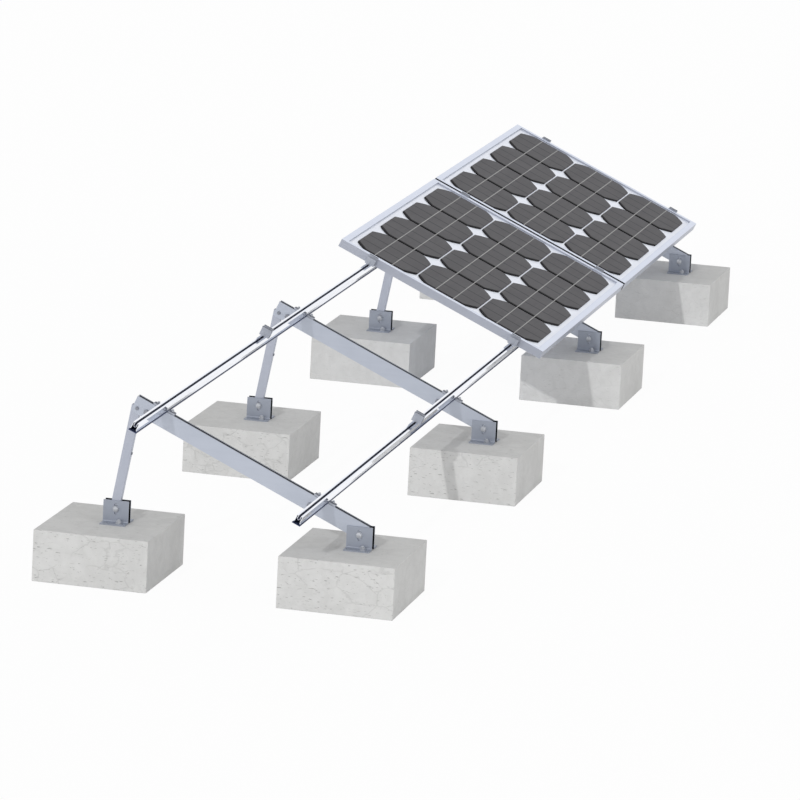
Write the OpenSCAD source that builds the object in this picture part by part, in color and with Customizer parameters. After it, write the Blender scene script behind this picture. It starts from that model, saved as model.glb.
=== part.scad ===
// Ballasted ground rack for solar panels: frames on concrete blocks, two long rails, two panels.
// The rails run along X. The beams climb towards +Y. Z = 0 is the ground.

/* [Blocks] */
// Length of a block along the rails
block_l = 500; // [420:10:700]
// Width of a block from front to rear
block_w = 450; // [380:10:600]
// Height of a block
block_h = 200; // [150:10:300]
// Bevel along the block's edges
block_bevel = 1.5; // [1:0.5:12]

/* [Rack] */
// Number of frames
frame_count = 4; // [2:1:4]
// Rail beyond the outer frames
rail_overhang = 425; // [300:5:500]
// Distance from the front feet to the rear feet
foot_pitch = 955; // [900:5:1000]
// How far the feet stand in front of the blocks' centres
foot_shift = 26; // [0:1:60]
// Slope of the beams in degrees
tilt = 24; // [20:1:30]
// Height of the foot bolts above the blocks
bolt_rise = 56; // [50:1:64]

/* [Beams] */
// Width of a beam
beam_w = 28; // [24:0.5:40]
// Depth of a beam
beam_h = 65; // [60:1:80]
// Wall of a beam
beam_wall = 2.5; // [2:0.1:4]
// Thickness of the lips over the beam's slot
beam_lip = 3; // [2:0.1:4]
// Mouth of the beam's slot
beam_mouth = 16; // [12:0.5:16.5]
// Depth of the slot under its lips
beam_slot_h = 14; // [10:0.5:16]
// Beam beyond the front bolt
beam_tail = 19; // [16:1:24]
// Beam from the front bolt to its upper end
beam_reach = 992; // [986:1:1100]
// Depth of the front bolt below the beam's top
front_bolt_depth = 45.5; // [40:0.5:50]

/* [Legs] */
// Width of a leg seen from the side
leg_w = 36; // [30:1:40]
// Wall of a leg
leg_wall = 2.5; // [2:0.1:4]
// Corner radius of a leg
leg_corner = 2; // [1:0.5:3]
// Free play of a leg inside the beam's channel, each side
leg_play = 0.3; // [0.1:0.1:0.6]
// Leg below its foot bolt
leg_tail = 34; // [26:1:38]
// Leg above its upper bolt
leg_head = 9; // [9:0.5:14]
// How far a leg's centre stands behind its bolts
leg_shift = 6.5; // [0:0.5:7]
// Upper leg bolt along the beam from the front bolt
leg_bolt_y = 973; // [960:1:976]
// Upper leg bolt below the beam's top
leg_bolt_depth = 44.5; // [42:0.5:50]

/* [Feet] */
// Width of a bracket from front to rear
bracket_w = 100; // [90:1:130]
// Height of a bracket
bracket_h = 88; // [84:1:110]
// Length of a bracket's flange on the block
bracket_flange = 48; // [44:1:70]
// Thickness of a bracket
bracket_t = 5; // [4:0.5:8]
// Fillet inside the bracket's corner
bracket_fillet = 5; // [3:0.5:8]
// Length of the upright slot in a bracket
upright_slot = 43; // [30:1:46]
// Length of each slot in the flange
flange_slot = 24; // [18:1:30]
// Distance between the two flange slots
flange_slot_pitch = 52; // [40:1:60]
// Shift of the flange slots towards the rear
flange_slot_shift = 6.5; // [0:0.5:8]
// Distance of the flange slots from the plate
flange_slot_x = 26; // [22:0.5:32]

/* [Rails] */
// Width of a rail's base
rail_base = 34; // [32:0.5:44]
// Width of a rail's top
rail_top = 24; // [22:0.5:28]
// Height of a rail
rail_h = 38; // [34:0.5:50]
// Wall of a rail
rail_wall = 2; // [1.5:0.1:2.5]
// Thickness of the base lip that the rail clamps hold
rail_lip = 3.5; // [2.5:0.1:4]
// Depth of the groove above the base lip
rail_neck = 2.5; // [1.5:0.1:3]
// Height of the groove above the base lip
rail_neck_h = 3; // [2.5:0.1:4]
// Height where the flare ends
rail_flare_h = 16; // [14:0.5:20]
// Width of the bolt groove in the rail's top
groove_w = 9; // [8.5:0.1:10]
// Depth of the bolt groove
groove_d = 16; // [14:0.5:18]
// Rail beyond the last clamp line
rail_end = 85; // [40:5:200]
// Lower rail along the beam from the front bolt
rail_low_y = 178; // [150:1:220]
// Distance from the lower rail to the upper rail
rail_pitch = 702; // [600:1:720]

/* [Rail clamps] */
// Length of a rail clamp along the beam, outside the rail's base
rail_clamp_l = 29; // [24:0.5:36]
// Width of a rail clamp
rail_clamp_w = 24; // [20:0.5:28]
// Height of a rail clamp
rail_clamp_h = 8; // [7:0.5:12]
// Distance of the clamp's bolt from the rail's base
rail_clamp_bolt = 13.5; // [10:0.5:16]
// Free play between a rail clamp and the rail
rail_clamp_play = 0.3; // [0.1:0.1:0.5]

/* [Panels] */
// Places for panels along the rack
place_count = 4; // [4:1:5]
// First place that holds a panel
first_place = 3; // [3:1:4]
// Length of a panel
panel_l = 1675; // [1400:5:1760]
// Width of a panel
panel_w = 992; // [960:1:1050]
// Thickness of a panel's frame
panel_t = 35; // [30:1:46]
// Gap between panels
panel_gap = 25; // [20:1:30]
// Panel's low edge in front of the lower rail's centre
panel_overhang = 132; // [90:1:150]
// Width of the frame's face
frame_face = 27; // [22:0.5:32]
// Depth of the frame's face above the sheet
frame_rim = 7.5; // [5:0.5:9]
// Wall of the panel's frame
frame_wall = 1.8; // [1.4:0.1:2.4]
// Width of the frame's bottom flange
frame_flange = 28; // [20:0.5:34]
// Depth of the groove that holds the sheet
sheet_groove = 12; // [8:0.5:16]
// Thickness of the sheet
sheet_t = 4.5; // [3:0.1:6]
// Free play of the sheet in its groove
sheet_play = 0.3; // [0.1:0.1:0.6]

/* [Cells] */
// Cells along a panel
cell_columns = 4; // [2:1:6]
// Cells across a panel
cell_rows = 3; // [2:1:6]
// Border from the frame's outer edge to the cells along the panel
cell_border_x = 46; // [40:1:70]
// Border from the frame's outer edge to the cells across the panel
cell_border_y = 49.5; // [40:0.5:70]
// Gap between neighbouring cells along the panel
cell_gap_x = 13; // [6:0.5:20]
// Gap between neighbouring cells across the panel
cell_gap_y = 8.5; // [4:0.5:16]
// Thickness of a cell
cell_t = 4; // [2:0.1:4.5]
// Corner cut of a cell along the panel
cell_cut_x = 66; // [20:1:80]
// Corner cut of a cell across the panel
cell_cut_y = 56; // [20:1:70]
// How far a cut corner bows outwards
cell_bow = 4; // [0:0.5:8]
// Distance of a ribbon from its row's centre
ribbon_offset = 43; // [20:1:60]
// Width of a ribbon
ribbon_w = 4; // [2:0.1:6]
// Thickness of a ribbon
ribbon_t = 0.5; // [0.3:0.1:1]

/* [Panel clamps] */
// Length of a panel clamp along the slope
panel_clamp_l = 42; // [36:1:60]
// Wall of a panel clamp
panel_clamp_t = 3; // [2.5:0.1:4]
// Free play of a panel clamp between two panels, each side
panel_clamp_play = 1.5; // [0.5:0.1:2.5]
// How far a wing reaches over a panel
panel_clamp_wing = 8; // [5:0.5:12]
// Height of an end clamp's outer wall above the rail
end_clamp_wall = 31; // [20:0.5:34]

/* [Fasteners] */
// Diameter of the foot bolts, the anchor studs and the cross bolts
big_d = 12; // [10:0.5:13]
// Diameter of the bolts of the clamps and of the leg's top
small_d = 8; // [6:0.5:8.2]
// Play of a bolt in its hole or slot, across
hole_play = 1; // [0.5:0.1:2]
// Play of a thread in its nut, washer or socket, across
thread_play = 0.2; // [0.1:0.1:0.4]
// Thickness of a large washer
washer_t = 2.5; // [1.5:0.1:4]
// Anchor stud in the block
anchor_depth = 80; // [60:5:110]
// Stud or bolt end beyond its nut
bolt_end = 4; // [2:0.5:10]
// Lower cross bolt along the beam from the front bolt
cross_bolt_low_y = 220; // [215:1:260]
// Upper cross bolt along the beam from the front bolt
cross_bolt_high_y = 934; // [925:1:936]
// Cross bolts below the beam's top
cross_bolt_depth = 40.5; // [38:0.5:46]
// Thickness of the flat bolt heads in the beams' slots
slot_head_h = 5; // [4:0.5:7]
// Free play of a flat bolt head in its slot, each side
slot_head_play = 1; // [0.5:0.1:1.5]
// Length of a panel clamp's bolt in the rail's groove
panel_bolt_depth = 12; // [8:0.5:15]

/* [Hidden] */
$fn = 48;
// Overlap of a cutting shape past the face that it cuts
over = 1;
// Straight steps along a cell's bowed corner
bow_steps = 4;

// Spanner widths, head and nut heights follow the bolt's diameter as on standard hexagon bolts
function spanner(d) = 1.6 * d;
function head_height(d) = 0.65 * d;
function nut_height(d) = 0.8 * d;
function washer_width(d) = 2 * d;

bolt_z = block_h + bolt_rise;
front_y = -foot_pitch / 2 - foot_shift;
rear_y = foot_pitch / 2 - foot_shift;
beam_inner = beam_w - 2 * beam_wall;
beam_web_z = -beam_lip - beam_slot_h;
leg_t = beam_inner - 2 * leg_play;

// Places of the anchor studs around a foot
function stud_x(half_grip) = half_grip + flange_slot_x;
stud_y = flange_slot_shift - flange_slot_pitch / 2;

// Place in the row's frame of a point on the slope: y along the beam, z above its top
function slope_y(y, z) = front_y + y * cos(tilt) - (z + front_bolt_depth) * sin(tilt);
function slope_z(y, z) = bolt_z + y * sin(tilt) + (z + front_bolt_depth) * cos(tilt);

leg_top_y = slope_y(leg_bolt_y, -leg_bolt_depth);
leg_top_z = slope_z(leg_bolt_y, -leg_bolt_depth);
leg_span = norm([leg_top_y - rear_y, leg_top_z - bolt_z]);
leg_lean = atan2(rear_y - leg_top_y, leg_top_z - bolt_z);

rail_high_y = rail_low_y + rail_pitch;
rail_y = [rail_low_y, rail_high_y];
place_pitch = panel_l + panel_gap;
rail_half = place_count / 2 * place_pitch + rail_end;
frame_pitch = 2 * (rail_half - rail_overhang) / (frame_count - 1);
neck_half = rail_base / 2 - rail_neck;
neck_top = rail_lip + rail_neck_h;
flare_half = rail_base / 2 - rail_neck / 2;
rail_clamp_y = rail_base / 2 + rail_clamp_bolt;
panel_count = place_count - first_place + 1;
panel_y = rail_low_y - panel_overhang;
panel_top = rail_h + panel_t;

clamp_half = panel_gap / 2 - panel_clamp_play;
sheet_bottom = panel_t - frame_rim - sheet_t;
cell_bottom = panel_t - frame_rim;
cell_pitch_x = (panel_l - 2 * cell_border_x + cell_gap_x) / cell_columns;
cell_pitch_y = (panel_w - 2 * cell_border_y + cell_gap_y) / cell_rows;
cell_l = cell_pitch_x - cell_gap_x;
cell_w = cell_pitch_y - cell_gap_y;

function frame_x(i) = (i - (frame_count - 1) / 2) * frame_pitch;
function line_x(j) = (j - place_count / 2) * place_pitch;
function numbered(name, count) = [for (i = [1:count]) str(name, "_", i)];
function panel_nodes(p) = [
    for (piece = ["frame_low", "frame_high", "frame_near", "frame_far", "sheet", "cells", "ribbons"])
        str("panel_", p, "_", piece)
];

concrete = [0.76, 0.77, 0.76];
aluminium = [0.70, 0.73, 0.78];
bright_aluminium = [0.86, 0.88, 0.93];
steel = [0.62, 0.64, 0.68];
white_sheet = [0.90, 0.92, 0.96];
cell_grey = [0.36, 0.36, 0.37];

// Placing and profile helpers

// A profile drawn in Y and Z, pushed along X
module along_x(x0, x1) {
    translate([x0, 0, 0])
        rotate([90, 0, 90])
            linear_extrude(x1 - x0)
                children();
}

// A profile drawn in X and Z, pushed along Y
module along_y(y0, y1) {
    translate([0, y1, 0])
        rotate([90, 0, 0])
            linear_extrude(y1 - y0)
                children();
}

// The beam's frame: y from the front bolt up the slope, z from the beam's top
module on_slope() {
    translate([0, front_y, bolt_z])
        rotate([tilt, 0, 0])
            translate([0, 0, front_bolt_depth])
                children();
}

// The leg's frame: z from the foot bolt up the leg
module on_leg() {
    translate([0, rear_y, bolt_z])
        rotate([leg_lean, 0, 0])
            children();
}

module across_x(d, l) {
    rotate([0, 90, 0])
        cylinder(d = d, h = l, center = true);
}

module round_rectangle(w, h, r) {
    square([w - 2 * r, h], center = true);
    square([w, h - 2 * r], center = true);
    for (x = [-1, 1], y = [-1, 1])
        translate([x * (w / 2 - r), y * (h / 2 - r)])
            circle(r);
}

// Points of a profile's other side, in turning order
function flipped(points) = [for (k = [len(points) - 1:-1:0]) [-points[k][0], points[k][1]]];
function mirrored(half) = concat(half, flipped(half));

// A slot with round ends, long along Y, cut down through z from 0
module slot_cut(w, l, h) {
    straight = l - w;
    translate([-w / 2, -straight / 2, 0])
        cube([w, straight, h]);
    for (y = [-1, 1])
        translate([0, y * straight / 2, 0])
            cylinder(d = w, h = h);
}

module hexagon(d, h) {
    cylinder(d = spanner(d) / cos(30), h = h, $fn = 6);
}

module ring(outer, inner, h) {
    difference() {
        cylinder(d = outer, h = h);
        translate([0, 0, -over])
            cylinder(d = inner, h = h + 2 * over);
    }
}

module nut(d) {
    difference() {
        hexagon(d, nut_height(d));
        translate([0, 0, -over])
            cylinder(d = d + thread_play, h = nut_height(d) + 2 * over);
    }
}

// A bolt along X through a grip, with its nut and, where asked, two washers
module through_bolt(d, grip, washers = 0) {
    plate = washers * washer_t;
    half = grip / 2 + plate;
    rotate([0, 90, 0]) {
        translate([0, 0, -half - head_height(d)])
            hexagon(d, head_height(d));
        translate([0, 0, -half - over])
            cylinder(d = d, h = 2 * half + over + nut_height(d) + bolt_end);
    }
    rotate([0, 90, 0])
        translate([0, 0, half])
            nut(d);
    if (washers > 0)
        rotate([0, 90, 0])
            for (z = [-half, grip / 2])
                translate([0, 0, z])
                    ring(washer_width(d), d + thread_play, washer_t);
}

// Concrete blocks

module bevelled(w, h, c) {
    polygon([
        [-w / 2 + c, 0], [w / 2 - c, 0], [w / 2, c], [w / 2, h - c],
        [w / 2 - c, h], [-w / 2 + c, h], [-w / 2, h - c], [-w / 2, c]
    ]);
}

module block(i, row) {
    half_grip = row < 0 ? beam_w / 2 : leg_t / 2;
    color(concrete)
        translate([frame_x(i), row * foot_pitch / 2, 0])
            difference() {
                intersection() {
                    along_x(-block_l / 2, block_l / 2)
                        bevelled(block_w, block_h, block_bevel);
                    along_y(-block_w / 2, block_w / 2)
                        bevelled(block_l, block_h, block_bevel);
                    linear_extrude(block_h)
                        translate([0, -block_w / 2])
                            bevelled(block_l, block_w, block_bevel);
                }
                for (side = [-1, 1])
                    translate([side * stud_x(half_grip), stud_y - foot_shift, block_h - anchor_depth])
                        cylinder(d = big_d + thread_play, h = anchor_depth + over);
            }
}

// Foot brackets

module bracket_profile() {
    square([bracket_t, bracket_h]);
    square([bracket_flange, bracket_t]);
    translate([bracket_t, bracket_t])
        difference() {
            square(bracket_fillet);
            translate([bracket_fillet, bracket_fillet])
                circle(bracket_fillet);
        }
}

module bracket() {
    slot_w = big_d + hole_play;
    difference() {
        along_y(-bracket_w / 2, bracket_w / 2)
            bracket_profile();
        translate([-over, 0, bolt_rise])
            rotate([90, 0, 90])
                slot_cut(slot_w, upright_slot, bracket_t + 2 * over);
        for (y = [-0.5, 0.5])
            translate([flange_slot_x, flange_slot_shift + y * flange_slot_pitch, -over])
                slot_cut(slot_w, flange_slot, bracket_t + 2 * over);
    }
}

module brackets(i, y, half_grip) {
    color(aluminium)
        translate([frame_x(i), y, block_h])
            for (side = [0, 1])
                mirror([side, 0, 0])
                    translate([half_grip, 0, 0])
                        bracket();
}

// Beams and legs

module beam_profile() {
    channel_top = beam_web_z - beam_lip;
    difference() {
        translate([-beam_w / 2, -beam_h])
            square([beam_w, beam_h]);
        translate([-beam_mouth / 2, -beam_lip - over])
            square([beam_mouth, beam_lip + 2 * over]);
        translate([-beam_inner / 2, beam_web_z])
            square([beam_inner, beam_slot_h]);
        translate([-beam_inner / 2, -beam_h - over])
            square([beam_inner, channel_top + beam_h + over]);
    }
}

module beam(i) {
    color(aluminium)
        translate([frame_x(i), 0, 0])
            on_slope()
                difference() {
                    along_y(-beam_tail, beam_reach)
                        beam_profile();
                    translate([0, 0, -front_bolt_depth])
                        across_x(big_d + hole_play, beam_w + 2 * over);
                    for (y = [cross_bolt_low_y, cross_bolt_high_y])
                        translate([0, y, -cross_bolt_depth])
                            across_x(big_d + hole_play, beam_w + 2 * over);
                    translate([0, leg_bolt_y, -leg_bolt_depth])
                        across_x(small_d + hole_play, beam_w + 2 * over);
                }
}

module leg(i) {
    color(aluminium)
        translate([frame_x(i), 0, 0])
            on_leg()
                difference() {
                    translate([0, leg_shift, -leg_tail])
                        linear_extrude(leg_tail + leg_span + leg_head)
                            difference() {
                                round_rectangle(leg_t, leg_w, leg_corner);
                                square([leg_t - 2 * leg_wall, leg_w - 2 * leg_wall], center = true);
                            }
                    across_x(big_d + hole_play, leg_t + 2 * over);
                    translate([0, 0, leg_span])
                        across_x(small_d + hole_play, leg_t + 2 * over);
                }
}

// Rails and the clamps that hold them to the beams

module groove_shape(w, z, top) {
    translate([0, z])
        circle(d = w);
    translate([-w / 2, z])
        square([w, top - z]);
}

module rail_profile() {
    groove_z = rail_h - groove_d + groove_w / 2;
    difference() {
        polygon(mirrored([
            [rail_base / 2, 0], [rail_base / 2, rail_lip], [neck_half, rail_lip],
            [neck_half, neck_top], [flare_half, neck_top],
            [rail_top / 2, rail_flare_h], [rail_top / 2, rail_h]
        ]));
        difference() {
            polygon(mirrored([
                [neck_half - rail_wall, rail_wall], [neck_half - rail_wall, neck_top],
                [rail_top / 2 - rail_wall, rail_flare_h], [rail_top / 2 - rail_wall, rail_h - rail_wall]
            ]));
            groove_shape(groove_w + 2 * rail_wall, groove_z, rail_h);
        }
        groove_shape(groove_w, groove_z, rail_h + over);
    }
}

module rail(y) {
    color(bright_aluminium)
        on_slope()
            translate([0, y, 0])
                along_x(-rail_half, rail_half)
                    rail_profile();
}

module rail_clamp() {
    nose_top = neck_top - rail_clamp_play;
    near = rail_base / 2 + rail_clamp_play;
    far = rail_base / 2 + rail_clamp_l;
    difference() {
        along_x(-rail_clamp_w / 2, rail_clamp_w / 2)
            polygon([
                [near, 0], [far, 0], [far, rail_clamp_h - over], [far - over, rail_clamp_h],
                [near + over, rail_clamp_h], [near, nose_top],
                [neck_half + rail_clamp_play, nose_top], [neck_half + rail_clamp_play, rail_lip],
                [near, rail_lip]
            ]);
        translate([0, rail_clamp_y, -over])
            cylinder(d = small_d + hole_play, h = rail_clamp_h + 2 * over);
    }
}

module rail_clamps(i) {
    color(bright_aluminium)
        translate([frame_x(i), 0, 0])
            on_slope()
                for (y = rail_y)
                    translate([0, y, 0])
                        for (side = [0, 1])
                            mirror([0, side, 0])
                                rail_clamp();
}

// Panels

module frame_section() {
    difference() {
        union() {
            square([frame_wall, panel_t]);
            square([frame_flange, frame_wall]);
            translate([0, panel_t - frame_rim])
                square([frame_face, frame_rim]);
            translate([0, sheet_bottom - sheet_play - frame_wall])
                square([frame_wall + sheet_groove, frame_wall]);
        }
        translate([frame_wall, panel_t - frame_rim + frame_wall])
            square([frame_face - 2 * frame_wall, frame_rim - 2 * frame_wall]);
    }
}

// A mitred side, its outer edge on the line from the origin along X
module frame_side(l) {
    reach = max(frame_flange, frame_face);
    color(bright_aluminium)
        intersection() {
            along_x(0, l)
                frame_section();
            linear_extrude(panel_t)
                polygon([[0, 0], [l, 0], [l - reach, reach], [reach, reach]]);
        }
}

module frame_low() {
    frame_side(panel_l);
}

module frame_high() {
    translate([panel_l, panel_w, 0])
        rotate(180)
            frame_side(panel_l);
}

module frame_near() {
    translate([0, panel_w, 0])
        rotate(-90)
            frame_side(panel_w);
}

module frame_far() {
    translate([panel_l, 0, 0])
        rotate(90)
            frame_side(panel_w);
}

module sheet() {
    inset = frame_wall + sheet_play;
    color(white_sheet)
        translate([inset, inset, sheet_bottom])
            cube([panel_l - 2 * inset, panel_w - 2 * inset, sheet_t]);
}

// Points from a to b on a shallow outward bow
function bow(a, b) = [
    for (k = [0:bow_steps])
        let (t = k / bow_steps, side = [b[1] - a[1], a[0] - b[0]] / norm(b - a))
            a + (b - a) * t + side * cell_bow * sin(180 * t)
];

function corner(sx, sy, x, y) =
    let (
        on_edge_y = [sx * (x - cell_cut_x), sy * y],
        on_edge_x = [sx * x, sy * (y - cell_cut_y)]
    )
    sx * sy < 0 ? bow(on_edge_y, on_edge_x) : bow(on_edge_x, on_edge_y);

module cell_outline() {
    x = cell_l / 2;
    y = cell_w / 2;
    polygon(concat(
        corner(-1, 1, x, y),
        corner(-1, -1, x, y),
        corner(1, -1, x, y),
        corner(1, 1, x, y)
    ));
}

module cells() {
    color(cell_grey)
        for (i = [0:cell_columns - 1], j = [0:cell_rows - 1])
            translate([
                cell_border_x + cell_l / 2 + i * cell_pitch_x,
                cell_border_y + cell_w / 2 + j * cell_pitch_y,
                cell_bottom
            ])
                linear_extrude(cell_t)
                    cell_outline();
}

module ribbons() {
    color(steel)
        for (j = [0:cell_rows - 1], side = [-1, 1])
            translate([
                cell_border_x,
                cell_border_y + cell_w / 2 + j * cell_pitch_y + side * ribbon_offset - ribbon_w / 2,
                cell_bottom + cell_t
            ])
                cube([panel_l - 2 * cell_border_x, ribbon_w, ribbon_t]);
}

module panel_piece(p) {
    on_slope()
        translate([line_x(first_place + p - 2) + panel_gap / 2, panel_y, rail_h])
            children();
}

// Channel clamps that hold the panels to the rails

// One side of a clamp's profile, from its base up: a wall with a wing, or a lower wall without one
function clamp_side(winged) =
    let (
        outside = clamp_half,
        inside = clamp_half - panel_clamp_t,
        wing_end = panel_gap / 2 + panel_clamp_wing,
        top = winged ? panel_top + panel_clamp_t : rail_h + end_clamp_wall,
        edge = winged
            ? [[outside, panel_top], [wing_end, panel_top], [wing_end, top], [inside, top]]
            : [[outside, top], [inside, top]]
    )
    concat([[outside, rail_h]], edge, [[inside, rail_h + panel_clamp_t]]);

// The clamp at the near edge of the first panel has no wing on its free side
function is_end_clamp(j) = j == first_place - 1;

module panel_clamp(j, y) {
    color(bright_aluminium)
        on_slope()
            translate([line_x(j), y, 0])
                difference() {
                    along_y(-panel_clamp_l / 2, panel_clamp_l / 2)
                        polygon(concat(clamp_side(true), flipped(clamp_side(!is_end_clamp(j)))));
                    translate([0, 0, rail_h - over])
                        cylinder(d = small_d + hole_play, h = panel_clamp_t + 2 * over);
                }
}

// Fasteners

module foot_bolts() {
    color(steel)
        for (i = [0:frame_count - 1]) {
            translate([frame_x(i), front_y, bolt_z])
                through_bolt(big_d, beam_w + 2 * bracket_t, 1);
            translate([frame_x(i), rear_y, bolt_z])
                through_bolt(big_d, leg_t + 2 * bracket_t, 1);
        }
}

module anchor_bolt() {
    translate([0, 0, -anchor_depth])
        cylinder(d = big_d, h = anchor_depth + bracket_t + washer_t + nut_height(big_d) + bolt_end);
    translate([0, 0, bracket_t])
        ring(washer_width(big_d), big_d + thread_play, washer_t);
    translate([0, 0, bracket_t + washer_t])
        nut(big_d);
}

module anchor_bolts() {
    color(steel)
        for (i = [0:frame_count - 1], side = [-1, 1]) {
            translate([frame_x(i) + side * stud_x(beam_w / 2), front_y + stud_y, block_h])
                anchor_bolt();
            translate([frame_x(i) + side * stud_x(leg_t / 2), rear_y + stud_y, block_h])
                anchor_bolt();
        }
}

module leg_bolts() {
    color(steel)
        for (i = [0:frame_count - 1])
            translate([frame_x(i), 0, 0])
                on_slope()
                    translate([0, leg_bolt_y, -leg_bolt_depth])
                        through_bolt(small_d, beam_w);
}

module cross_bolts() {
    color(steel)
        for (i = [0:frame_count - 1], y = [cross_bolt_low_y, cross_bolt_high_y])
            translate([frame_x(i), 0, 0])
                on_slope()
                    translate([0, y, -cross_bolt_depth])
                        through_bolt(big_d, beam_w);
}

// A bolt with a flat head that slides in the beam's slot
module rail_clamp_bolt() {
    translate([0, 0, -beam_lip - slot_head_h])
        linear_extrude(slot_head_h)
            square([beam_inner - 2 * slot_head_play, spanner(small_d)], center = true);
    translate([0, 0, -beam_lip - over])
        cylinder(d = small_d, h = beam_lip + over + rail_clamp_h + nut_height(small_d) + bolt_end);
    translate([0, 0, rail_clamp_h])
        nut(small_d);
}

module rail_clamp_bolts() {
    color(steel)
        for (i = [0:frame_count - 1])
            translate([frame_x(i), 0, 0])
                on_slope()
                    for (y = rail_y, side = [-1, 1])
                        translate([0, y + side * rail_clamp_y, 0])
                            rail_clamp_bolt();
}

module panel_clamp_bolts() {
    color(steel)
        on_slope()
            for (j = [1:place_count], y = rail_y)
                translate([line_x(j), y, rail_h + panel_clamp_t]) {
                    hexagon(small_d, head_height(small_d));
                    translate([0, 0, -panel_clamp_t - panel_bolt_depth])
                        cylinder(d = small_d, h = panel_clamp_t + panel_bolt_depth + over);
                }
}

for (i = [1:frame_count]) {
    block(i - 1, -1);
    block(i - 1, 1);
    brackets(i - 1, front_y, beam_w / 2);
    brackets(i - 1, rear_y, leg_t / 2);
    beam(i - 1);
    leg(i - 1);
    rail_clamps(i - 1);
}
rail(rail_low_y);  // rail_lower
rail(rail_high_y);  // rail_upper
for (j = [1:place_count]) {
    panel_clamp(j, rail_low_y);
    panel_clamp(j, rail_high_y);
}
for (p = [1:panel_count]) {
    panel_piece(p) frame_low();
    panel_piece(p) frame_high();
    panel_piece(p) frame_near();
    panel_piece(p) frame_far();
    panel_piece(p) sheet();
    panel_piece(p) cells();
    panel_piece(p) ribbons();
}
foot_bolts();
anchor_bolts();
leg_bolts();
cross_bolts();
rail_clamp_bolts();
panel_clamp_bolts();
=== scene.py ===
import math
import bmesh
import bpy
from mathutils import Matrix, Vector


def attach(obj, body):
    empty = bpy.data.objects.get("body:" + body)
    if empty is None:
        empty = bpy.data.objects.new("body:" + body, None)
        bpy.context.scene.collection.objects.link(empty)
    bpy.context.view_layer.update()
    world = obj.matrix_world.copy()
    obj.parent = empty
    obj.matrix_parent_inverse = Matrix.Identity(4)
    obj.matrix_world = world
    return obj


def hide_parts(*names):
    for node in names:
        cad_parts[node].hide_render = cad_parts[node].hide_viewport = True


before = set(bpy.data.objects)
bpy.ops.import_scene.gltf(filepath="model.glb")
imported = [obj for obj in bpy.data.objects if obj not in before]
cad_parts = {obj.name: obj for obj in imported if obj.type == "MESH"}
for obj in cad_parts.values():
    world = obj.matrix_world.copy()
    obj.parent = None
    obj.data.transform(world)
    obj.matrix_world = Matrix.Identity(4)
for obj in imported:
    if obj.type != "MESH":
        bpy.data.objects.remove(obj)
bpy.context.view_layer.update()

# the rack's layout in metres and degrees, as it stands in the frame
rack = {
    "frames": 4,
    "framePitch": 2.04,
    "tilt": 24.0,
    "frontY": -0.5035,        # front foot bolts
    "rearY": 0.4515,          # rear foot bolts
    "boltZ": 0.256,
    "boltDepth": 0.0455,      # front bolt below the beam's top
    "blockTop": 0.2,
    "beamWidth": 0.028,
    "legWidth": 0.0224,
    "railY": (0.178, 0.880),  # along the beam from the front bolt
    "railHeight": 0.038,
    "places": 4,              # clamp lines along the rails
    "firstPlace": 3,          # clamp line at the near edge of the first panel
    "placePitch": 1.7,
    "panels": 2,
}


def frameX(i):
    return (i - (rack["frames"] - 1) / 2) * rack["framePitch"]


def lineX(j):
    return (j - rack["places"] / 2) * rack["placePitch"]


# a place on the slope: y runs up the beam from the front bolt, z stands on the beam's top
def onSlope(x=0.0, y=0.0, z=0.0):
    foot = Matrix.Translation((0, rack["frontY"], rack["boltZ"]))
    tilt = Matrix.Rotation(math.radians(rack["tilt"]), 4, "X")
    return foot @ tilt @ Matrix.Translation((x, y, z + rack["boltDepth"]))


slopeUp = onSlope().to_3x3() @ Vector((0, 0, 1))
slopeAlong = onSlope().to_3x3() @ Vector((0, 1, 0))
slopeStart = onSlope().translation

view = {
    "azimuth": -76.5847,
    "elevation": 12.0408,
    "roll": 2.9627,
    "place": (-23.55525, -5.51674, 5.27843),
    "lens": 259.843,
    "sensor": 36,
    "clipEnd": 200,
}


def setCamera():
    azimuth = math.radians(view["azimuth"])
    elevation = math.radians(view["elevation"])
    back = Vector((
        math.sin(azimuth) * math.cos(elevation),
        -math.cos(azimuth) * math.cos(elevation),
        math.sin(elevation),
    ))
    level = (-back).cross(Vector((0, 0, 1))).normalized()
    up = level.cross(-back)
    roll = math.radians(view["roll"])
    right = level * math.cos(roll) + up * math.sin(roll)
    top = up * math.cos(roll) - level * math.sin(roll)
    data = bpy.data.cameras.new("camera")
    data.lens = view["lens"]
    data.sensor_width = view["sensor"]
    data.sensor_fit = "HORIZONTAL"
    data.clip_end = view["clipEnd"]
    camera = bpy.data.objects.new("camera", data)
    turn = Matrix((right, top, back)).transposed().to_4x4()
    camera.matrix_world = Matrix.Translation(view["place"]) @ turn
    bpy.context.collection.objects.link(camera)
    bpy.context.scene.camera = camera


setCamera()
bpy.context.scene.view_settings.view_transform = "Standard"
print("camera set")


# a socket that takes part in sums, so that an expression lays out its Math nodes
class Tone:
    def __init__(self, board, socket):
        self.board = board
        self.socket = socket

    def maths(self, operation, *values):
        return self.board.add("ShaderNodeMath", {"operation": operation}, dict(enumerate(values)))

    def out(self, name):
        return Tone(self.board, self.socket.node.outputs[name])

    def __add__(self, other):
        return self.maths("ADD", self, other)

    def __radd__(self, other):
        return self.maths("ADD", other, self)

    def __sub__(self, other):
        return self.maths("SUBTRACT", self, other)

    def __rsub__(self, other):
        return self.maths("SUBTRACT", other, self)

    def __mul__(self, other):
        return self.maths("MULTIPLY", self, other)

    def __rmul__(self, other):
        return self.maths("MULTIPLY", other, self)

    def __abs__(self):
        return self.maths("ABSOLUTE", self)


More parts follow.
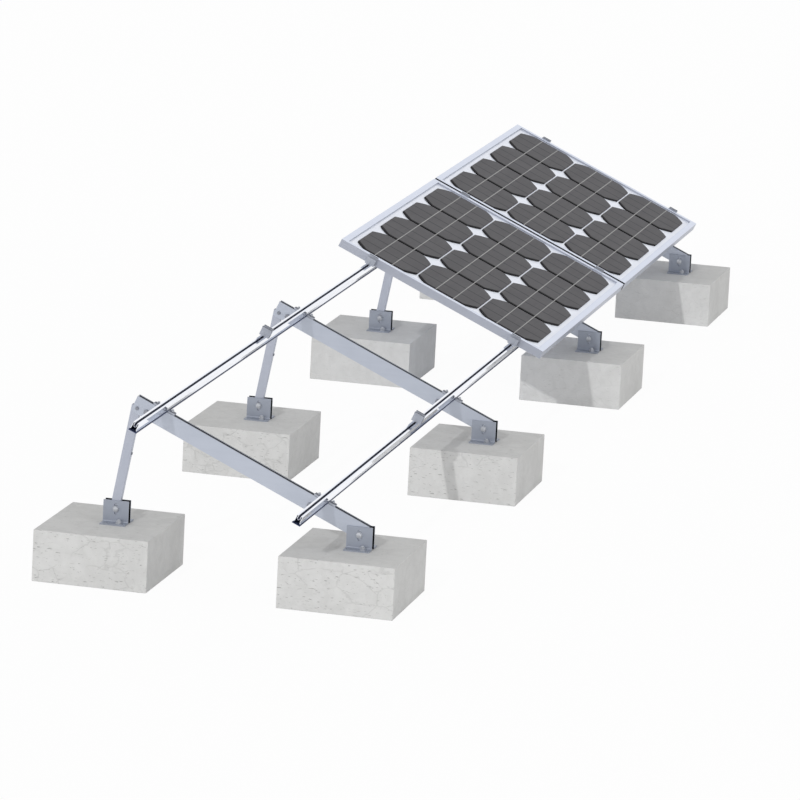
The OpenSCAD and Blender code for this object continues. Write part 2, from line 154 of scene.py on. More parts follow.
# a node tree and the one way that nodes are laid into it
class Board:
    def __init__(self, tree):
        self.tree = tree

    # one node: its type, its settings, then values or links for its sockets
    def add(self, kind, settings={}, sockets={}, output=0):
        node = self.tree.nodes.new(kind)
        for name, value in settings.items():
            setattr(node, name, value)
        for name, value in sockets.items():
            if isinstance(value, Tone):
                self.tree.links.new(value.socket, node.inputs[name])
            else:
                node.inputs[name].default_value = value
        return Tone(self, node.outputs[output])

    def finishWith(self, tone, output):
        self.tree.links.new(tone.socket, self.tree.nodes[output].inputs["Surface"])

    # rays for which the world and the floor are plain white
    def plainRays(self):
        rays = self.add("ShaderNodeLightPath", output="Is Camera Ray")
        seen = rays.maths("MAXIMUM", rays, rays.out("Is Glossy Ray"))
        return seen.maths("MAXIMUM", seen, rays.out("Is Transmission Ray"))

    # a smooth step of a value from low to high
    def between(self, value, low, high, start=0.0, end=1.0):
        sockets = {"Value": value, "From Min": low, "From Max": high,
                   "To Min": start, "To Max": end}
        return self.add("ShaderNodeMapRange", {"interpolation_type": "SMOOTHSTEP"}, sockets)

    def mix(self, share, first, second):
        sockets = {0: share}
        for socket, colour in ((6, first), (7, second)):
            sockets[socket] = colour if isinstance(colour, Tone) else (*colour, 1)
        return self.add("ShaderNodeMix", {"data_type": "RGBA"}, sockets, 2)

    def vector(self, operation, first, second, output=0):
        settings = {"operation": operation}
        return self.add("ShaderNodeVectorMath", settings, {0: first, 1: second}, output)


# a material on its Principled shader
class Finish(Board):
    def __init__(self, name, **shader):
        self.material = bpy.data.materials.new(name)
        self.material.use_nodes = True
        super().__init__(self.material.node_tree)
        self.shader = self.tree.nodes["Principled BSDF"]
        for socket, value in shader.items():
            self.shader.inputs[socket.replace("_", " ")].default_value = value
        self.place = self.add("ShaderNodeTexCoord", output="Object")

    def feed(self, **tones):
        for socket, tone in tones.items():
            self.tree.links.new(tone.socket, self.shader.inputs[socket.replace("_", " ")])

    def noise(self, vector, scale, detail=3.0, roughness=0.5, distortion=0.0):
        sockets = {"Vector": vector, "Scale": scale, "Detail": detail, "Roughness": roughness,
                   "Distortion": distortion}
        return self.add("ShaderNodeTexNoise", {}, sockets, "Fac")

    def mapped(self, scale, turn=(0, 0, 0)):
        sockets = {"Vector": self.place, "Scale": scale, "Rotation": turn}
        return self.add("ShaderNodeMapping", {}, sockets)

    def bump(self, height, strength, distance):
        sockets = {"Height": height, "Strength": strength, "Distance": distance}
        self.feed(Normal=self.add("ShaderNodeBump", {}, sockets))

    # how far a face looks in a direction, from -1 to 1
    def facing(self, direction):
        return self.vector("DOT_PRODUCT", self.place.out("Normal"), direction, "Value")

    # distance of a point along a direction, from an origin
    def along(self, direction, origin):
        fromOrigin = self.vector("SUBTRACT", self.place, origin)
        return self.vector("DOT_PRODUCT", fromOrigin, direction, "Value")

    def xOf(self, tone):
        return self.add("ShaderNodeSeparateXYZ", {}, {0: tone}, "X")

    # distance in X from the nearest frame
    def fromFrame(self):
        x = self.xOf(self.place)
        pitch = rack["framePitch"]
        return x.maths("WRAP", x - frameX(0), pitch / 2, -pitch / 2)

    # painted shade in hollows, along lines and on chosen faces: colour mixed towards a dark tone,
    # with no metal there
    def paintShade(self, dark, colour, deep, metal):
        self.feed(Base_Color=self.mix(dark, colour, deep), Metallic=(1 - dark) * metal)


def dress(name, finish):
    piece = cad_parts[name]
    piece.data.materials.clear()
    piece.data.materials.append(finish.material)


lookEdge = (0.4, 0.6)         # a face counts as looking in a direction from here on

# noises are given by scale, detail, roughness and distortion
concreteLook = {
    "pale": (0.655, 0.655, 0.648),
    "dull": (0.585, 0.585, 0.578),
    "mark": (0.27, 0.27, 0.265),
    "crack": (0.40, 0.40, 0.395),
    "roughness": 0.88,
    "specular": 0.2,
    "clouds": (4.0, 4.0, 0.55),
    "cloudShare": 0.45,       # the rest of the shade is patches
    "patches": (19.0, 5.0, 0.65, 0.6),
    "grain": (260.0, 2.0, 0.6),
    "shadeEdge": (0.34, 0.66),
    "quietShare": 0.28,       # what is left of marks and relief on the other faces
    "fadeX": (-1.2, 0.8),     # where they fade along the rails
    "fadeShare": 0.35,
    "dashes": (1.0, 2.0, 0.5, 0.4),
    "dashScale": (60, 48, 250),
    "dashTurn": (0.45, 0, 0),
    "dashEdge": (0.66, 0.70),
    "dashShare": 0.7,
    "webScale": 9.0,
    "webStretch": (1, 1, 1.7),
    "swayDetail": 4.0,
    "sway": (0.12, 0.12, 0.12),
    "crackEdge": (0.010, 0.036),
    "crackPatches": (7.0, 2.0),
    "crackPatchEdge": (0.44, 0.56),
    "crackShare": 0.28,
    "lumps": (55.0, 4.0, 0.6, 0.8),
    "lumpStretch": (1, 1, 1.4),
    "lumpHeight": 0.8,
    "patchHeight": 0.8,
    "crackDepth": 0.3,
    "dashDepth": 0.4,
    "grainHeight": 0.06,
    "bump": 0.62,
    "relief": 0.0030,
}


# cast concrete: clouds and grain all over; relief, short marks and hair cracks, strongest on
# the sides across the rails and on the blocks under the bare stretch
def concreteFinish():
    look = concreteLook
    finish = Finish("castConcrete", Roughness=look["roughness"],
                    Specular_IOR_Level=look["specular"])
    place = finish.place
    acrossRails = finish.between(abs(finish.facing((1, 0, 0))), *lookEdge)
    fade = finish.between(finish.xOf(place), *look["fadeX"], 1.0, look["fadeShare"])
    strength = (acrossRails * (1 - look["quietShare"]) + look["quietShare"]) * fade
    cloud = finish.noise(place, *look["clouds"])
    patch = finish.noise(place, *look["patches"])
    grain = finish.noise(place, *look["grain"])
    blend = cloud * look["cloudShare"] + patch * (1 - look["cloudShare"])
    shade = finish.between(blend, *look["shadeEdge"])
    colour = finish.mix(shade, look["dull"], look["pale"])

    dashes = finish.noise(finish.mapped(look["dashScale"], look["dashTurn"]), *look["dashes"])
    marks = finish.between(dashes, *look["dashEdge"])
    sockets = {"Vector": place, "Scale": look["webScale"], "Detail": look["swayDetail"]}
    sway = finish.add("ShaderNodeTexNoise", {}, sockets, "Color")
    sway = finish.vector("MULTIPLY", sway, look["sway"])
    sockets = {"Vector": finish.vector("ADD", finish.mapped(look["webStretch"]), sway),
               "Scale": look["webScale"]}
    web = finish.add("ShaderNodeTexVoronoi", {"feature": "DISTANCE_TO_EDGE"}, sockets, "Distance")
    broken = finish.between(finish.noise(place, *look["crackPatches"]), *look["crackPatchEdge"])
    crack = (1 - finish.between(web, *look["crackEdge"])) * broken
    colour = finish.mix(crack * strength * look["crackShare"], colour, look["crack"])
    colour = finish.mix(marks * strength * look["dashShare"], colour, look["mark"])
    finish.feed(Base_Color=colour)

    lumps = finish.noise(finish.mapped(look["lumpStretch"]), *look["lumps"])
    raised = lumps * look["lumpHeight"] + patch * look["patchHeight"]
    sunk = raised - crack * look["crackDepth"] - marks * look["dashDepth"]
    height = sunk * strength + grain * look["grainHeight"]
    finish.bump(height, look["bump"], look["relief"])
    return finish


# what all drawn metals share
drawn = {
    "specular": 0.1,
    "streaks": (1.0, 3.0, 0.6),
    "clouds": (9.0, 3.0, 0.5),
    "cloudShare": 0.5,
    "shadeEdge": (0.35, 0.65),
    "roughness": (0.85, 0.3),    # share of a look's own everywhere, and what the streaks add
    "bump": 0.02,
}


# drawn metal with faint streaks along its length
def drawnMetal(finish, look, turn=(0, 0, 0)):
    streaks = finish.noise(finish.mapped(look["streaks"], turn), *drawn["streaks"])
    cloud = finish.noise(finish.place, *drawn["clouds"])
    cloudShare = drawn["cloudShare"]
    blend = streaks * (1 - cloudShare) + cloud * cloudShare
    share = finish.between(blend, *drawn["shadeEdge"])
    least, added = drawn["roughness"]
    finish.feed(Roughness=look["roughness"] * (least + streaks * added))
    if "relief" in look:
        finish.bump(streaks, drawn["bump"], look["relief"])
    return finish.mix(share, look["shade"], look["colour"])


# heights are from the beam's top, and half the slot's width is from the middle of the beam
beamLook = {
    "colour": (0.514, 0.549, 0.628),
    "shade": (0.485, 0.520, 0.598),
    # colour of the painted shade inside the slot and on the top
    "slot": (0.010, 0.011, 0.020),
    "slotFloor": (-0.0205, -0.0200),
    "slotMouth": (-0.0022, -0.0004),
    "slotHalf": (0.0120, 0.0130),
    "top": (-0.0004, -0.0002),
    "topShade": 0.55,
    "metal": 0.55,
    "roughness": 0.42,
    "relief": 0.0003,
    "streaks": (60, 4, 60),
}


# painted shade: the faces inside the slot along the beam's top are painted dark, and the whole top
# is painted half dark
def beamFinish():
    look = beamLook
    finish = Finish("satinBeam", Specular_IOR_Level=drawn["specular"])
    colour = drawnMetal(finish, look, (-math.radians(rack["tilt"]), 0, 0))
    height = finish.along(slopeUp, slopeStart)
    slotShadeMask = finish.between(height, *look["slotFloor"])
    slotShadeMask = slotShadeMask * (1 - finish.between(height, *look["slotMouth"]))
    slotShadeMask = slotShadeMask * (1 - finish.between(abs(finish.fromFrame()), *look["slotHalf"]))
    top = finish.between(height, *look["top"]) * look["topShade"]
    finish.paintShade(slotShadeMask.maths("MAXIMUM", slotShadeMask, top), colour, look["slot"], look["metal"])
    return finish


legLook = {
    "colour": (0.482, 0.508, 0.585),
    "shade": (0.456, 0.482, 0.558),
    "metal": 0.55,
    "roughness": 0.42,
    "relief": 0.0003,
    "streaks": (60, 60, 4),
}


def legFinish():
    finish = Finish("satinLeg", Metallic=legLook["metal"], Specular_IOR_Level=drawn["specular"])
    finish.feed(Base_Color=drawnMetal(finish, legLook))
    return finish


bracketLook = {
    "colour": (0.378, 0.408, 0.475),
    "shade": (0.340, 0.368, 0.430),
    # colour of the painted shade on the inner faces
    "inside": (0.004, 0.004, 0.005),
    "inward": (-0.0105, -0.0095),    # distance from the frame, negative on faces towards it
    "insideReach": (0.0145, 0.0150),
    "metal": 0.5,
    "roughness": 0.46,
    "relief": 0.0003,
    "streaks": (40, 8, 40),
}


# bent foot plates, with painted shade on their inner faces, between the plates
def bracketFinish():
    look = bracketLook
    finish = Finish("footBracket", Metallic=look["metal"], Specular_IOR_Level=drawn["specular"])
    colour = drawnMetal(finish, look)
    side = finish.xOf(finish.place.out("Normal"))
    inward = finish.between(finish.fromFrame() * side, *look["inward"], 1.0, 0.0)
    near = 1 - finish.between(abs(finish.fromFrame()), *look["insideReach"])
    finish.feed(Base_Color=finish.mix(inward * near, colour, look["inside"]))
    return finish


# heights are from the beam's top
railLook = {
    "colour": (0.920, 0.940, 0.990),
    "shade": (0.850, 0.880, 0.955),
    # colour of the painted shade in the groove and along the base
    "dark": (0.055, 0.070, 0.140),
    "grooveHalf": (0.0044, 0.0048),
    "grooveFloor": (0.021, 0.022),
    "base": (0.0085, 0.0095),
    "metal": 1.0,
    "roughness": 0.07,
    "streaks": (1, 40, 40),
}


# bright drawn rail, with painted shade in its bolt groove and along its base
def railFinish(y):
    look = railLook
    finish = Finish("brightRail", Specular_IOR_Level=drawn["specular"])
    colour = drawnMetal(finish, look)
    height = finish.along(slopeUp, slopeStart)
    aside = abs(finish.along(slopeAlong, slopeStart + slopeAlong * y))
    grooveShade = 1 - finish.between(aside, *look["grooveHalf"])
    grooveShade = grooveShade * finish.between(height, *look["grooveFloor"])
    base = 1 - finish.between(height, *look["base"])
    finish.paintShade(grooveShade.maths("MAXIMUM", grooveShade, base), colour, look["dark"], look["metal"])
    return finish


frameLook = {
    "colour": (0.680, 0.725, 0.840),
    "shade": (0.655, 0.700, 0.815),
    # painted shade: the sides are greyer than the top
    "side": (0.437, 0.460, 0.530),
    "sideMetal": 0.5,
    # painted dark shade on the face in the seam between panels
    "seamShade": (0.012, 0.013, 0.018),
    "seamShadeMetal": 0.0,
    "roughness": 0.36,
    "streaks": (6, 60, 60),
}


# the panel's frame: pale on top, with painted shade that makes its sides greyer, and painted dark
# shade on its face in the seam
def frameFinish(name, side, metal):
    finish = Finish(name, Specular_IOR_Level=drawn["specular"])
    colour = drawnMetal(finish, frameLook)
    upright = 1 - finish.between(abs(finish.facing(slopeUp)), *lookEdge)
    finish.feed(Base_Color=finish.mix(upright, colour, side), Metallic=1 - upright * (1 - metal))
    return finish


clampLook = {
    "colour": (0.445, 0.470, 0.530),
    "shade": (0.420, 0.444, 0.503),
    # colour of the painted shade on upper faces and sawn ends
    "wing": (0.070, 0.075, 0.100),
    "facing": (0.6, 0.9),
    "topShade": 0.8,
    "sawnShade": 0.95,
    "metal": 0.5,
    "roughness": 0.45,
    "streaks": (20, 30, 30),
}


# panel and rail clamps, with painted shade on their upper faces; the end clamps also on their sawn
# ends
def clampFinish(name, endShade):
    look = clampLook
    finish = Finish(name, Specular_IOR_Level=drawn["specular"])
    colour = drawnMetal(finish, look)
    top = finish.between(finish.facing(slopeUp), *look["facing"]) * look["topShade"]
    ends = finish.between(abs(finish.facing(slopeAlong)), *look["facing"]) * endShade
    finish.paintShade(top.maths("MAXIMUM", top, ends), colour, look["wing"], look["metal"])
    return finish


cellLook = {
    "grey": (0.120, 0.118, 0.125),
    "deep": (0.106, 0.104, 0.111),
    "line": (0.045, 0.045, 0.050),
    # colour of the painted shade on the sides and along the near outline
    "side": (0.002, 0.002, 0.003),
    "roughness": 0.55,
    "specular": 0.05,
    "clouds": (7.0, 3.0),
    "grain": (1.0, 2.0),
    "grainScale": (3, 90, 90),
    "grainShare": 0.3,
    "shadeEdge": (0.35, 0.65),
    "firstColumn": 0.2515,    # centre of a panel's first column from its clamp line
    "columnPitch": 0.399,
    "firstRow": 0.2415,       # centre of the first row along the slope
    "rowPitch": 0.3005,
    "half": (0.193, 0.146),
    "corner": 0.056,          # length cut off a cell's side at each corner
    "cornerSlope": 1.1786,    # how far the cut comes in for that length
    "shadeBand": 0.019,            # width of the strip of painted shade along the near outline
    "bandEdge": 0.001,
    "lineOffset": 0.055,
    "lineWidth": 0.0100,
    "lineEdge": (0.35, 0.6),  # where a line fades, in widths
    "lineShare": 0.8,
}


# dark cells with two faint lines across each, and black painted shade on their sides and in a
# strip along their near outline
def cellFinish():
    look = cellLook
    finish = Finish("siliconCell", Roughness=look["roughness"],
                    Specular_IOR_Level=look["specular"])
    cloud = finish.noise(finish.place, *look["clouds"])
    grain = finish.noise(finish.mapped(look["grainScale"]), *look["grain"])
    blend = cloud * (1 - look["grainShare"]) + grain * look["grainShare"]
    shade = finish.between(blend, *look["shadeEdge"])
    colour = finish.mix(shade, look["deep"], look["grey"])

    x = finish.xOf(finish.place)
    x = x.maths("WRAP", x, rack["placePitch"], 0.0) - look["firstColumn"]
    x = x.maths("WRAP", x, look["columnPitch"] / 2, -look["columnPitch"] / 2)
    fromLine = abs(abs(x) - look["lineOffset"])
    line = 1 - finish.between(fromLine, *(look["lineWidth"] * share for share in look["lineEdge"]))
    colour = finish.mix(line * look["lineShare"], colour, look["line"])

    y = finish.along(slopeAlong, slopeStart + slopeAlong * look["firstRow"])
    y = abs(y.maths("WRAP", y, look["rowPitch"] / 2, -look["rowPitch"] / 2))
    past = y - (look["half"][1] - look["corner"])
    cutIn = past.maths("MAXIMUM", past, 0.0) * look["cornerSlope"]
    inset = x + look["half"][0] - cutIn
    # painted shade: a dark strip along each cell's near outline and on its sides
    shadeBand = 1 - finish.between(inset, look["shadeBand"] - look["bandEdge"],
                              look["shadeBand"] + look["bandEdge"])
    side = 1 - finish.between(finish.facing(slopeUp), *lookEdge)
    dark = side.maths("MAXIMUM", side, shadeBand)
    finish.feed(Base_Color=finish.mix(dark, colour, look["side"]))
    return finish


sheetLook = {
    "pale": (0.87, 0.905, 1.00),
    "dull": (0.83, 0.865, 0.955),
    "metal": 0.4,
    "roughness": 0.35,
    "clouds": (11.0, 3.0),
}


def sheetFinish():
    look = sheetLook
    finish = Finish("panelSheet", Metallic=look["metal"], Roughness=look["roughness"])
    cloud = finish.noise(finish.place, *look["clouds"])
    finish.feed(Base_Color=finish.mix(cloud, look["dull"], look["pale"]))
    return finish


ribbonLook = {
    "colour": (0.36, 0.36, 0.355),
    "shade": (0.27, 0.27, 0.27),
    "metal": 1.0,
    "roughness": 0.45,
    "streaks": (4, 200, 200),
}
steelLook = {
    "colour": (0.600, 0.620, 0.660),
    "shade": (0.440, 0.460, 0.500),
    "metal": 0.75,
    "roughness": 0.34,
    "streaks": (60, 60, 60),
}
dullSteelLook = {
    "colour": (0.320, 0.333, 0.375),
    "shade": (0.230, 0.242, 0.280),
    "metal": 0.75,
    "roughness": 0.40,
    "streaks": (60, 60, 60),
}


# small bright parts: cell ribbons and fasteners
def smallPartFinish(name, look):
    finish = Finish(name, Metallic=look["metal"])
    finish.feed(Base_Color=drawnMetal(finish, look))
    return finish


concrete = concreteFinish()
beamMetal = beamFinish()
legMetal = legFinish()
bracketMetal = bracketFinish()
frameMetal = frameFinish("panelFrame", frameLook["side"], frameLook["sideMetal"])
# the near frame of each later panel carries painted dark shade where it faces the seam
seamShadeMetal = frameFinish("seamShadeFrame", frameLook["seamShade"], frameLook["seamShadeMetal"])
clampMetal = clampFinish("clampMetal", 0.0)
endClampMetal = clampFinish("endClampMetal", clampLook["sawnShade"])
cellGrey = cellFinish()
sheetWhite = sheetFinish()
ribbonMetal = smallPartFinish("tinnedRibbon", ribbonLook)
steel = smallPartFinish("zincSteel", steelLook)
dullSteel = smallPartFinish("dullSteel", dullSteelLook)

for i in range(1, rack["frames"] + 1):
    for row in ("front", "rear"):
        dress(f"block_{row}_{i}", concrete)
        dress(f"brackets_{row}_{i}", bracketMetal)
    dress(f"beam_{i}", beamMetal)
    dress(f"leg_{i}", legMetal)
    dress(f"rail_clamps_{i}", clampMetal)
for row, y in zip(("lower", "upper"), rack["railY"]):
    dress(f"rail_{row}", railFinish(y))
    for j in range(1, rack["places"] + 1):
        dress(f"panel_clamp_{row}_{j}", endClampMetal if j == rack["firstPlace"] else clampMetal)
for p in range(1, rack["panels"] + 1):
    for side in ("low", "high", "near", "far"):
        dress(f"panel_{p}_frame_{side}", seamShadeMetal if p > 1 and side == "near" else frameMetal)
    dress(f"panel_{p}_sheet", sheetWhite)
    dress(f"panel_{p}_cells", cellGrey)
    dress(f"panel_{p}_ribbons", ribbonMetal)
print("finishes laid on the frame")

# the two sizes of fastener; end is how far a bolt stands out of its nut
large = {
    "d": 0.012,
    "flats": 0.0192,
    "head": 0.0078,
    "nut": 0.0096,
    "washer": 0.024,
    "washerT": 0.0025,
    "thread": 0.00175,
    "end": 0.004,
}
small = {
    "d": 0.008,
    "flats": 0.0128,
    "head": 0.0052,
    "nut": 0.0064,
    "thread": 0.00125,
    "end": 0.004,
}

# how all of them are cut
cut = {
    "steps": 24,              # facets round a bolt
    "merge": 1e-6,
    "rim": 0.93,              # ring inside the corners, as a share of half the flats
    "onFlats": 1e-5,          # tolerance that finds the outermost ring
    "cornerDrop": 0.6,
    "flatDrop": 0.02,
    "play": 0.0001,           # between a bolt and its nut or washer
    "washerEdge": 0.0003,
    "threadDepth": 0.55,      # in pitches
    "threadStart": 0.002,     # thread that runs on into the grip
    "lastTurn": 0.6,          # plain end above the last turn, in pitches
    "intoHead": 0.001,
    "smoothAngle": 28,
}


# a profile of radius and height turned round Z, closed on itself where it has a bore and on
# the axis where it has none
def turned(profile, closed):
    bm = bmesh.new()
    verts = [bm.verts.new((radius, 0, z)) for radius, z in profile]
    pairs = list(zip(verts, verts[1:])) + ([(verts[-1], verts[0])] if closed else [])
    edges = [bm.edges.new(pair) for pair in pairs]
    bmesh.ops.spin(bm, geom=verts + edges, axis=(0, 0, 1), cent=(0, 0, 0), steps=cut["steps"],
                   angle=math.tau, use_merge=True)
    bmesh.ops.remove_doubles(bm, verts=bm.verts, dist=cut["merge"])
    return bm


# a hexagon: the outermost ring of a turned shape is pushed out to six flats, and its corners
# are drawn down
def hexagon(size, height, bore=0.0, base=0.0, chamferBoth=False):
    half = size["flats"] / 2
    rim = half * cut["rim"]
    bored = bore > 0
    inner = [(bore, base + height), (bore, base)] if bored else [(0, base + height)]
    outer = [(rim, base), (half, base), (half, base + height), (rim, base + height)]
    profile = inner[1:] + outer + inner[:1] if bored else [(0, base)] + outer + inner
    bm = turned(profile, bored)
    for vert in bm.verts:
        reach = math.hypot(vert.co.x, vert.co.y)
        if abs(reach - half) < cut["onFlats"]:
            angle = math.atan2(vert.co.y, vert.co.x) % (math.pi / 3) - math.pi / 6
            stretch = 1 / math.cos(angle)
            drop = (stretch - 1) * half * cut["cornerDrop"] + half * cut["flatDrop"]
            if vert.co.z > base + height / 2:
                vert.co.z -= drop
            elif chamferBoth:
                vert.co.z += drop
            vert.co.x *= stretch
            vert.co.y *= stretch
    return bm


def nut(size, base):
    return hexagon(size, size["nut"], size["d"] / 2 + cut["play"], base, True)


def washer(size, base):
    bore = size["d"] / 2 + cut["play"]
    reach = size["washer"] / 2
    top = base + size["washerT"]
    edge = cut["washerEdge"]
    profile = [(bore, base), (reach, base), (reach, top - edge), (reach - edge, top), (bore, top)]
    return turned(profile, True)


# a shank from low to high with its thread from threadFrom up, and a bevelled end
def shank(size, low, high, threadFrom):
    pitch = size["thread"]
    reach = size["d"] / 2
    root = reach - pitch * cut["threadDepth"]
    profile = [(0, low), (reach, low), (reach, threadFrom)]
    turns = int((high - threadFrom - pitch * cut["lastTurn"]) / pitch)
    for k in range(turns):
        z = threadFrom + k * pitch
        profile += [(root, z + pitch * 0.5), (reach, z + pitch)]
    profile += [(root, high), (0, high)]
    return turned(profile, False)


# gathers turned shapes into one piece
class Tray:
    def __init__(self, name, node, finish):
        self.name = name
        self.node = node
        self.finish = finish
        self.bm = bmesh.new()

    def put(self, shape, place):
        bmesh.ops.transform(shape, matrix=place, verts=shape.verts)
        bmesh.ops.recalc_face_normals(shape, faces=shape.faces)
        mesh = bpy.data.meshes.new("loose")
        shape.to_mesh(mesh)
        shape.free()
        self.bm.from_mesh(mesh)
        bpy.data.meshes.remove(mesh)

    def lay(self):
        mesh = bpy.data.meshes.new(self.name)
        self.bm.to_mesh(mesh)
        self.bm.free()
        piece = bpy.data.objects.new(self.name, mesh)
        bpy.context.collection.objects.link(piece)
        mesh.materials.append(self.finish.material)
        mesh.shade_smooth()
        mesh.set_sharp_from_angle(angle=math.radians(cut["smoothAngle"]))
        if self.node:
            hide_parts(self.node)
        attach(piece, "root")


alongX = Matrix.Rotation(math.pi / 2, 4, "Y")
outOfFront = Matrix.Rotation(math.pi / 2, 4, "X")
turnedOver = Matrix.Rotation(math.pi, 4, "X")


# a bolt along X through a grip, its head towards the bare end of the rails
def throughBolt(tray, size, grip, place, washers=False):
    half = grip / 2 + (size["washerT"] if washers else 0)
    place = place @ alongX
    low = -half - cut["intoHead"]
    high = half + size["nut"] + size["end"]
    tray.put(hexagon(size, size["head"], base=half), place @ turnedOver)
    tray.put(shank(size, low, high, half - cut["threadStart"]), place)
    tray.put(nut(size, half), place)
    if washers:
        for base in (-half, grip / 2):
            tray.put(washer(size, base), place)


foot = {
    "bracket": 0.005,
    "studAside": 0.026,
    "studBack": -0.0195,
    "studDepth": 0.08,
}
footBolts = Tray("footBolts", "foot_bolts", steel)
anchorBolts = Tray("anchorBolts", "anchor_bolts", steel)
for i in range(rack["frames"]):
    for y, width in ((rack["frontY"], rack["beamWidth"]), (rack["rearY"], rack["legWidth"])):
        place = Matrix.Translation((frameX(i), y, rack["boltZ"]))
        throughBolt(footBolts, large, width + 2 * foot["bracket"], place, True)
        for side in (-1, 1):
            x = frameX(i) + side * (width / 2 + foot["studAside"])
            place = Matrix.Translation((x, y + foot["studBack"], rack["blockTop"]))
            nutBase = foot["bracket"] + large["washerT"]
            end = nutBase + large["nut"] + large["end"]
            anchorBolts.put(shank(large, -foot["studDepth"], end, foot["bracket"]), place)
            anchorBolts.put(washer(large, foot["bracket"]), place)
            anchorBolts.put(nut(large, nutBase), place)
footBolts.lay()
anchorBolts.lay()
print("foot bolts and anchors made")

# a small screw head on the front of each leg
legScrew = {
    "z": 0.475,
    "reach": 0.0115,          # from the leg's axis to its front face
    "sunk": 0.0003,
    "flats": 0.010,
    "height": 0.004,
    "legTop": (0.38497, 0.65267),    # Y and Z of the leg's upper bolt
}
legScrews = Tray("legScrews", None, dullSteel)
lean = math.atan2(rack["rearY"] - legScrew["legTop"][0], legScrew["legTop"][1] - rack["boltZ"])
for i in range(rack["frames"]):
    leg = Matrix.Translation((frameX(i), rack["rearY"], rack["boltZ"]))
    leg = leg @ Matrix.Rotation(lean, 4, "X")
    up = (legScrew["z"] - rack["boltZ"]) / math.cos(lean)
    place = Matrix.Translation((0, legScrew["sunk"] - legScrew["reach"], up)) @ outOfFront
    legScrews.put(hexagon(legScrew, legScrew["height"]), leg @ place)
legScrews.lay()
print("leg screws made")

# along the beam from the front bolt, and from the beam's top
beamBolts = {
    "leg": (0.973, -0.0445),
    "cross": ((0.220, -0.0405), (0.934, -0.0405)),
}
legBolts = Tray("legBolts", "leg_bolts", dullSteel)
crossBolts = Tray("crossBolts", "cross_bolts", dullSteel)
for i in range(rack["frames"]):
    throughBolt(legBolts, small, rack["beamWidth"], onSlope(frameX(i), *beamBolts["leg"]))
    for y, z in beamBolts["cross"]:
        throughBolt(crossBolts, large, rack["beamWidth"], onSlope(frameX(i), y, z))
legBolts.lay()
crossBolts.lay()
print("beam bolts made")

railBolt = {
    "aside": 0.0305,          # from the middle of the rail
    "clampTop": 0.008,
    "lip": 0.003,
    "head": (0.021, 0.0128, 0.005),    # flat head in the beam's slot
    "headEdge": 0.0006,
}
panelBolt = {"wall": 0.003, "depth": 0.012}
railClampBolts = Tray("railClampBolts", "rail_clamp_bolts", steel)
panelClampBolts = Tray("panelClampBolts", "panel_clamp_bolts", steel)
for y in rack["railY"]:
    for i in range(rack["frames"]):
        for side in (-1, 1):
            place = onSlope(frameX(i), y + side * railBolt["aside"])
            slotHead = bmesh.new()
            bmesh.ops.create_cube(slotHead, size=1)
            bmesh.ops.scale(slotHead, vec=railBolt["head"], verts=slotHead.verts)
            bmesh.ops.bevel(slotHead, geom=slotHead.edges, offset=railBolt["headEdge"],
                            affect="EDGES", segments=1, profile=0.5, material=-1)
            headZ = -railBolt["lip"] - railBolt["head"][2] / 2
            railClampBolts.put(slotHead, place @ Matrix.Translation((0, 0, headZ)))
            low = -railBolt["lip"] - cut["intoHead"]
            high = railBolt["clampTop"] + small["nut"] + small["end"]
            railClampBolts.put(shank(small, low, high, 0.0), place)
            railClampBolts.put(nut(small, railBolt["clampTop"]), place)
    for j in range(1, rack["places"] + 1):
        place = onSlope(lineX(j), y, rack["railHeight"] + panelBolt["wall"])
        reach = panelBolt["wall"] + panelBolt["depth"]
        bolt = shank(small, -cut["intoHead"], reach, panelBolt["wall"])
        panelClampBolts.put(hexagon(small, small["head"]), place)
        panelClampBolts.put(bolt, place @ turnedOver)
railClampBolts.lay()
panelClampBolts.lay()
print("clamp bolts made")

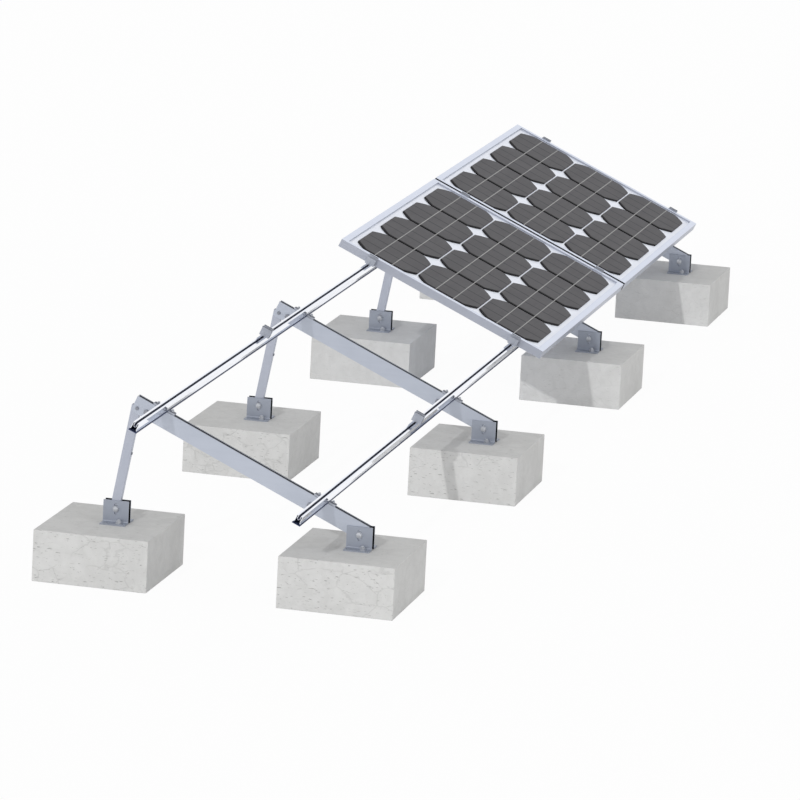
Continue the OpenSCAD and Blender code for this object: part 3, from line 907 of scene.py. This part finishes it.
# strengths follow the soft light of the photograph: brighter from the sides than from above
studio = {
    "skySide": 1.29,
    "skyFall": 0.92,          # how much darker it is straight above
    "keyPower": 0.85,
    "keyFrom": (-0.876, 0.099, 0.471),
    "keySpread": 1.0,
    "floorColour": (0.90, 0.90, 0.90),
    "floorRoughness": 0.9,
    "floorRadius": 60,
    "floorSides": 96,
    "floorZ": -0.0005,        # just under the blocks
    "floorGlow": 0.95,        # share of plain white the camera sees in the floor
}


def setSky():
    world = bpy.data.worlds.new("studio")
    bpy.context.scene.world = world
    world.use_nodes = True
    board = Board(world.node_tree)
    direction = board.add("ShaderNodeTexCoord", output="Generated")
    height = board.add("ShaderNodeSeparateXYZ", {}, {0: direction}, "Z")
    strength = studio["skySide"] - height.maths("MAXIMUM", height, 0.0) * studio["skyFall"]
    sky = board.add("ShaderNodeBackground", {}, {"Color": (1, 1, 1, 1), "Strength": strength})
    white = board.add("ShaderNodeBackground", {}, {"Color": (1, 1, 1, 1), "Strength": 1.0})
    sockets = {0: board.plainRays(), 1: sky, 2: white}
    board.finishWith(board.add("ShaderNodeMixShader", {}, sockets), "World Output")


def setKey():
    lamp = bpy.data.lights.new("key", "SUN")
    lamp.energy = studio["keyPower"]
    lamp.angle = math.radians(studio["keySpread"])
    key = bpy.data.objects.new("key", lamp)
    key.visible_glossy = False    # metals show the pale surroundings alone
    key.rotation_euler = Vector(studio["keyFrom"]).to_track_quat("Z", "Y").to_euler()
    bpy.context.collection.objects.link(key)


def setFloor():
    bm = bmesh.new()
    bmesh.ops.create_circle(bm, cap_ends=True, segments=studio["floorSides"],
                            radius=studio["floorRadius"])
    mesh = bpy.data.meshes.new("floor")
    bm.to_mesh(mesh)
    bm.free()
    floor = bpy.data.objects.new("floor", mesh)
    floor.location.z = studio["floorZ"]
    bpy.context.collection.objects.link(floor)
    plain = Finish("floor", Base_Color=(*studio["floorColour"], 1),
                   Roughness=studio["floorRoughness"])
    glow = plain.add("ShaderNodeEmission", {}, {"Color": (1, 1, 1, 1), "Strength": 1.0})
    surface = Tone(plain, plain.shader.outputs[0])
    sockets = {0: plain.plainRays() * studio["floorGlow"], 1: surface, 2: glow}
    plain.finishWith(plain.add("ShaderNodeMixShader", {}, sockets), "Material Output")
    mesh.materials.append(plain.material)


setSky()
setKey()
setFloor()
print("studio set")
